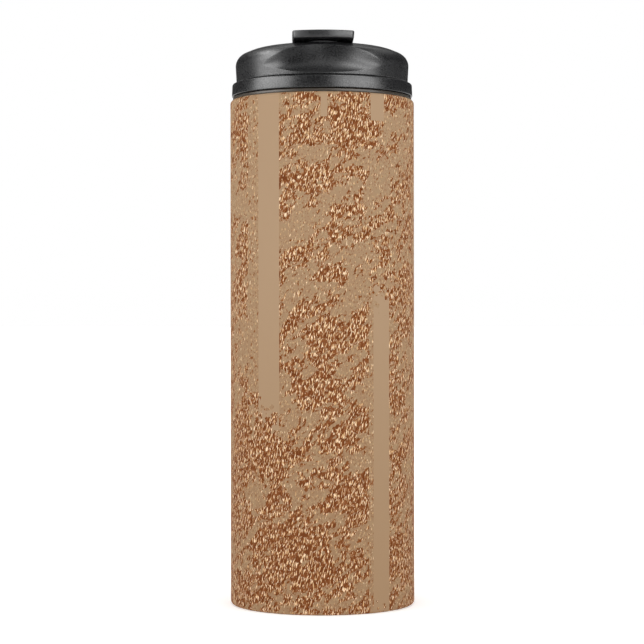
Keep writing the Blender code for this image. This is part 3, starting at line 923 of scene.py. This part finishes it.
def spaced(first, last, count):
    """Even steps from the first value up to just before the last."""
    return [first + (last - first) * k / count for k in range(count)]


def hollow_point(a, b, way):
    """A point of the recess's hollow between its edges: an arc's sag, deepened towards the lower edge."""
    chord = b - a
    inwards = Vector((chord.y, -chord.x)).normalized()
    sag = chord.length_squared / (8 * RECESS_HOLLOW_R)
    dip = RECESS_DIP * chord.length
    sag_here = 4 * way * (1 - way) * sag
    dip_here = 27 / 4 * way**2 * (1 - way) * dip
    return a + chord * way + inwards * (sag_here + dip_here)


def cap_column(side, ways, angle):
    """One column of the cap's outer side, in (radius, height), hollow between the recess's edges."""
    top, bottom = recess_edges(angle)
    close = RECESS_TOP - 0.6 * MM
    rows = spaced(0.0, close, 24) + spaced(close, top, 18)
    column = [point_at(side, ways, way) for way in rows]
    a, b = point_at(side, ways, top), point_at(side, ways, bottom)
    depth = max(0.0, 1 - (abs(angle) / RECESS_HALF) ** RECESS_EASE_POWER)
    for way in spaced(0.0, 1.0, 36):
        plain = point_at(side, ways, top + (bottom - top) * way)
        column.append(plain.lerp(hollow_point(a, b, way), depth))
    rows = spaced(bottom, ways[-1], 14) + [ways[-1]]
    return column + [point_at(side, ways, way) for way in rows]


def cap_inside():
    """The cap's inner side, from the seam up to the middle of the dome."""
    rim = SPIGOT_R + GAP
    step = COLLAR[1].z + GAP
    flat_r = 18 * MM
    ceiling = CAP_TOP - DOME_WALL
    inside = [(rim, CAP_LOW), (rim, step), (CAP_INNER_R, step)]
    inside += arc((CAP_INNER_R - CAP_INNER_BEND, SHOULDER_Z), CAP_INNER_BEND, 0, 75, 8)
    return inside + [(flat_r, ceiling - 0.4 * MM), (0, ceiling)]


def cap_columns():
    """Angles round the cap from its front, close together across the lip recess and wider elsewhere."""
    half, step, wide_step = 60, 0.5, 2
    close = [math.radians(-half + step * k) for k in range(round(2 * half / step))]
    wide = [math.radians(half + wide_step * k) for k in range(round((360 - 2 * half) / wide_step))]
    return close + wide


def cap_body():
    """The cap's mesh, column by column, with the lip recess pressed into its front."""
    side, ways = cap_side()
    inside = [Vector(point) for point in cap_inside()]
    bm = bmesh.new()
    columns = []
    for angle in cap_columns():
        outline = cap_column(side, ways, angle) + inside
        across, ahead = math.sin(angle), -math.cos(angle)
        spots = [(radius * across, radius * ahead, height) for radius, height in outline]
        columns.append([bm.verts.new(spot) for spot in spots])
    for a, b in zip(columns, columns[1:] + columns[:1]):
        for k in range(len(a) - 1):
            bm.faces.new((a[k], b[k], b[k + 1], a[k + 1]))
    bmesh.ops.remove_doubles(bm, verts=bm.verts, dist=SAME_POINT)
    return place("domed_cap", bm)


def pocket_outline():
    """The hinge pocket in (y, z): it cradles the barrel, and slopes up behind it for the open tab."""
    slope = TAB_OPEN - TAB_RAKE - 90
    high = CAP_TOP + 2 * MM
    cradle = arc((AXLE.y, AXLE.z), POCKET_R, 180, 270 + slope, 16)
    foot_y, foot_z = cradle[-1]
    exit_y = foot_y + (high - foot_z) / math.tan(math.radians(slope))
    return [(AXLE.y - POCKET_R, high)] + cradle + [(exit_y, high)]


def seat_cutter(low, high):
    """What cuts the stopper's seat, and the drinking hole with its flared rim below it."""
    seat_r = DRINK_R + 1.4 * MM
    flare = 0.35 * MM
    outline = [(0, high), (seat_r, high), (seat_r, SEAT_Z), (DRINK_R + flare, SEAT_Z)]
    outline += arc((DRINK_R + flare, SEAT_Z - flare), flare, 90, 180, 5)[1:]
    outline += [(DRINK_R, low), (0, low)]
    return turned("seat_cutter", outline, SMALL_ROUND, (0, DRINK_Y))


def domed_cap():
    """The cap: inner bosses added, then the seat, the vent, the hinge pocket and the pin's hole cut."""
    cap = cap_body()
    (front, low), (back, high) = HINGE_BLOCK
    block = [(front, low), (back, low), (back, high), (front, high)]
    bosses = [
        prism("hinge_block", block, -HINGE_BLOCK_HALF, HINGE_BLOCK_HALF, "X"),
        upright_bar("drink_boss", DRINK_R + DRINK_BOSS_WALL, BOSS_LOW, high, DRINK_Y),
        upright_bar("vent_boss", VENT_R + VENT_BOSS_WALL, BOSS_LOW, high, VENT_Y),
    ]
    combine(cap, bosses, "UNION")
    above = CAP_TOP + 1 * MM
    below = BOSS_LOW - 1 * MM
    pocket_half = TAB_WIDTH / 2 + 0.4 * MM
    cuts = [
        seat_cutter(below, above),
        upright_bar("vent_cutter", VENT_R, below, above, VENT_Y, 32),
        prism("pocket_cutter", pocket_outline(), -pocket_half, pocket_half, "X"),
        crossbar("pin_hole_cutter", PIN_HOLE_R, *PIN_HOLE_ENDS),
    ]
    combine(cap, cuts, "DIFFERENCE")
    return cap


# ---------------------------------------------------------------- flip tab


def tab_side():
    """The tab from the side, in (y, z): the barrel, the flat underside, and the raked neck behind."""
    front = -TAB_FRONT_R - 1 * MM
    front_low = TAB_LOW + 0.35 * MM
    barrel = arc((AXLE.y, AXLE.z), BARREL_R, 90 - TAB_RAKE, -180, 30)
    back_y, back_z = barrel[0]
    crest_y = back_y - (TAB_TOP - back_z) / math.tan(math.radians(TAB_RAKE))
    underside = [(AXLE.y - BARREL_R, TAB_LOW), (DRINK_Y, TAB_LOW), (-TAB_FRONT_R, front_low)]
    return barrel + underside + [(front, front_low), (front, TAB_TOP), (crest_y, TAB_TOP)]


def tab_plan():
    """The tab from above, in (x, y): straight sides, a front round the lid's axis, and small corners."""
    half = TAB_WIDTH / 2
    reach = TAB_FRONT_R - TAB_CORNER_R
    corner_x = half - TAB_CORNER_R
    turn = math.degrees(math.acos(corner_x / reach))
    corner_y = -math.sqrt(reach**2 - corner_x**2)
    right = arc((corner_x, corner_y), TAB_CORNER_R, 0, -turn, 8)
    left = [(-x, y) for x, y in reversed(right)]
    front = arc((0, 0), TAB_FRONT_R, -turn, turn - 180, 28)[1:-1]
    back = AXLE.y + 2 * BARREL_R
    return [(half, back)] + right + front + left + [(-half, back)]


def tab_plate():
    """The tab: plate, neck and barrel in one moulding, with soft edges and its sides drawn in below."""
    half = TAB_WIDTH / 2 + 1 * MM
    tab = prism("tab_plate", tab_side(), -half, half, "X")
    combine(tab, [prism("tab_plan", tab_plan(), AXLE.z - 10 * MM, TAB_TOP + 10 * MM, "Z")], "INTERSECT")
    soften(tab, TAB_EDGE, 4)
    for vert in tab.data.vertices:
        share = max(0.0, min(1.0, (TAB_TOP - vert.co.z) / (TAB_TOP - TAB_LOW)))
        vert.co.x *= 1 - TAB_DRAFT * share
    peg = upright_bar("peg", PEG_R, PEG_LOW, TAB_LOW + 1 * MM, DRINK_Y)
    combine(tab, [peg], "UNION", SOFTENED_SHARP)
    combine(tab, [crossbar("tab_bore", PIN_HOLE_R, -half, half)], "DIFFERENCE", SOFTENED_SHARP)
    return tab


def soft_stopper():
    """The flanged drinking stopper, every edge rounded, with a blind hole for the tab's peg."""
    low, high = STOPPER[0].z, STOPPER[1].z
    flange = STOPPER[1].x
    seat = SEAT_Z + GAP
    hole_r = PEG_R + GAP
    hole_low = PEG_LOW - GAP
    corners = [
        (hole_r, high, 0.2 * MM),
        (flange, high, 0.4 * MM),
        (flange, seat, 0.4 * MM),
        (DRINK_R - 0.4 * MM, seat, 0.15 * MM),
        (DRINK_R - 0.5 * MM, low, 0.9 * MM),
        (0, low, 0),
        (0, hole_low, 0),
        (hole_r, hole_low, 0),
    ]
    return turned("soft_stopper", rounded(corners), SMALL_ROUND, (0, DRINK_Y))


# ---------------------------------------------------------------- build


def dress(obj, material):
    """Gives an object one material."""
    obj.data.materials.clear()
    obj.data.materials.append(material)


def piece(obj, material, body, node):
    """Finishes a piece: its material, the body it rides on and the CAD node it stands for."""
    dress(obj, material)
    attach(obj, body)
    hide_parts(node)


def build():
    """Makes the nine detailed pieces, and gives the CAD nodes that stay their materials."""
    print_skin = foil_print()
    steel = cup_steel()
    steel_rings = brushed_steel("turned_base_steel", screen(190, 188, 184), 0.3, "rings")
    lid_black = black_plastic("lid_black", screen(21, 21, 22), 0.30)
    tab_black = black_plastic("tab_black", screen(38, 38, 39), 0.34)
    grey = silicone("grey_silicone_skin", screen(84, 84, 86))
    dark = silicone("dark_silicone_skin", screen(46, 46, 48))

    piece(printed_shell(), print_skin, "tumbler", "outer_shell")
    piece(steel_cup(), steel, "tumbler", "inner_liner")
    piece(foot_cover(), steel_rings, "tumbler", "base_cover")
    piece(ribbed_gasket(), grey, "seal_ring", "lid_gasket")
    piece(lid_ring(), lid_black, "lid", "lid_collar")
    piece(domed_cap(), lid_black, "lid", "lid_cap")
    piece(plug_floor(), lid_black, "lid", "plug_cover")
    piece(tab_plate(), tab_black, "tab", "flip_tab")
    piece(soft_stopper(), dark, "tab", "drink_stopper")

    kept = {
        "foil_shield": crinkled_foil(),
        "base_plate": steel_rings,
        "getter_clip": steel_rings,
        "getter_pellet": powder_metal("getter_powder", screen(60, 58, 58), screen(96, 94, 92), 0.75, 0.4),
        "vacuum_seal": powder_metal("dull_solder", screen(150, 150, 148), screen(196, 196, 192), 0.4, 1.0),
        "lid_insulation": foam(),
        "spout_seal": grey,
        "vent_seal": grey,
        "hinge_pin": brushed_steel("ground_pin_steel", screen(200, 200, 202), 0.22),
        "vent_plug": dark,
    }
    for name, material in kept.items():
        dress(frame["nodes"][name], material)


# ---------------------------------------------------------------- studio

CAMERA_LENS = 110.8
CAMERA_DISTANCE = 0.79
CAMERA_AIM = Vector((-0.00014, 0, 0.1118))
CAMERA_AZIMUTH = math.radians(-1.1)
CAMERA_ROLL = math.radians(0.06)

# What glossy surfaces see: brightness by the height of the direction, from the horizon (0) to
# straight up (1). The left softbox leans back as it rises, the right one is dimmer at head height,
# and a faint ceiling glows above. Their places and half widths are in degrees from the front.
LEFT_BOX = [(0.0, 7.4), (0.74, 7.0), (0.84, 0.9), (1.0, 0.0)]
LEFT_AT, LEFT_LEAN, LEFT_HALF = -69, -46, 26
RIGHT_BOX = [
    (0.0, 7.2),
    (0.24, 7.2),
    (0.36, 3.0),
    (0.46, 4.2),
    (0.62, 7.2),
    (0.73, 6.6),
    (0.84, 2.6),
    (1.0, 0.2),
]
RIGHT_AT, RIGHT_HALF = 45, 28
CEILING = [(0.0, 0.05), (0.5, 0.1), (0.66, 0.7), (0.76, 1.0), (0.86, 0.2), (1.0, 0.02)]
BOX_EDGE = 7

# The lamps: width and length in metres, power, degrees from the front, height and distance in metres.
LAMPS = {
    "left_softbox": (0.4, 1.2, 1.2, -70, 0.45, 1.3),
    "right_softbox": (0.4, 1.2, 1.2, 50, 0.45, 1.3),
    "overhead": (1.2, 1.2, 1.2, 180, 1.6, 0.5),
}
LAMP_AIM = Vector((0, 0, 0.12))
FLOOR_HALF = 40


def by_height(nodes, z, levels):
    """A brightness read from a list of (height, level) stops."""
    brightest = max(level for _, level in levels)
    stops = [(height, (level / brightest,) * 3 + (1,)) for height, level in levels]
    return nodes.math("MULTIPLY", nodes.ramp(z, stops), brightest)


def softbox(nodes, angle, z, levels, middle, half):
    """An upright glowing panel with soft sides."""
    away = nodes.math("ABSOLUTE", nodes.math("SUBTRACT", angle, middle))
    inside = nodes.span(away, half - BOX_EDGE, half + BOX_EDGE, 1.0, 0.0)
    return nodes.math("MULTIPLY", by_height(nodes, z, levels), inside)


def studio_world():
    """An even white surround for soft light, where glossy surfaces see two softboxes in a dark room."""
    world = bpy.data.worlds.new("studio")
    world.use_nodes = True
    nodes = Nodes(world.node_tree)
    x, y, z = nodes.split(nodes.add("ShaderNodeTexCoord").outputs["Generated"])
    angle = nodes.math("MULTIPLY", nodes.angle_from_front(x, y), 180 / math.pi)

    left_middle = nodes.span(z, 0.42, 0.9, LEFT_AT, LEFT_AT + LEFT_LEAN)
    left = softbox(nodes, angle, z, LEFT_BOX, left_middle, LEFT_HALF)
    right = softbox(nodes, angle, z, RIGHT_BOX, RIGHT_AT, RIGHT_HALF)
    gloss = nodes.math("ADD", nodes.math("ADD", left, right), by_height(nodes, z, CEILING))

    path = nodes.add("ShaderNodeLightPath").outputs
    in_gloss = path["Is Glossy Ray"]
    even = nodes.mix_number(path["Is Camera Ray"], nodes.span(y, -0.3, 0.5, 1.06, 0.75), 1.0)
    even = nodes.math("MULTIPLY", nodes.math("SUBTRACT", 1.0, in_gloss), even)
    strength = nodes.math("ADD", even, nodes.math("MULTIPLY", in_gloss, gloss))
    background = nodes.tree.nodes["Background"]
    nodes.feed(background.inputs["Color"], (1, 1, 1, 1))
    nodes.feed(background.inputs["Strength"], strength)
    return world


def studio_floor():
    """A pale matte floor that reaches far past the object."""
    bm = bmesh.new()
    bmesh.ops.create_grid(bm, x_segments=1, y_segments=1, size=FLOOR_HALF)
    floor = place("studio_floor", bm)
    skin = Finish("pale_floor")
    speck = skin.noise(skin.place, scale=3.0, detail=3)
    skin.set(Base_Color=skin.mix(speck, screen(250, 250, 250), screen(253, 253, 253)), Roughness=0.95)
    skin.set(Emission_Color=(1, 1, 1, 1), Emission_Strength=0.3)
    dress(floor, skin.material)


def lamp(name, width, length, power, azimuth, height, distance):
    """A soft rectangular lamp, aimed at the middle of the object."""
    light = bpy.data.lights.new(name, "AREA")
    light.shape = "RECTANGLE"
    light.size, light.size_y = width, length
    light.energy = power
    obj = bpy.data.objects.new(name, light)
    turn = math.radians(azimuth)
    obj.location = (distance * math.sin(turn), -distance * math.cos(turn), height)
    obj.rotation_euler = (LAMP_AIM - obj.location).to_track_quat("-Z", "Y").to_euler()
    bpy.context.scene.collection.objects.link(obj)


def studio():
    """The surround, the floor and the lamps."""
    bpy.context.scene.view_settings.view_transform = "Standard"
    bpy.context.scene.world = studio_world()
    studio_floor()
    for name, settings in LAMPS.items():
        lamp(name, *settings)


def camera():
    """The photograph's viewpoint: level, a little to the left of the front."""
    data = bpy.data.cameras.new("camera")
    data.sensor_width = 36
    data.lens = CAMERA_LENS
    obj = bpy.data.objects.new("camera", data)
    towards = Vector((math.sin(CAMERA_AZIMUTH), -math.cos(CAMERA_AZIMUTH), 0))
    obj.location = CAMERA_AIM + towards * CAMERA_DISTANCE
    obj.rotation_euler = (math.radians(90), CAMERA_ROLL, CAMERA_AZIMUTH)
    bpy.context.scene.collection.objects.link(obj)
    bpy.context.scene.camera = obj


camera()
build()
studio()
bpy.context.view_layer.update()
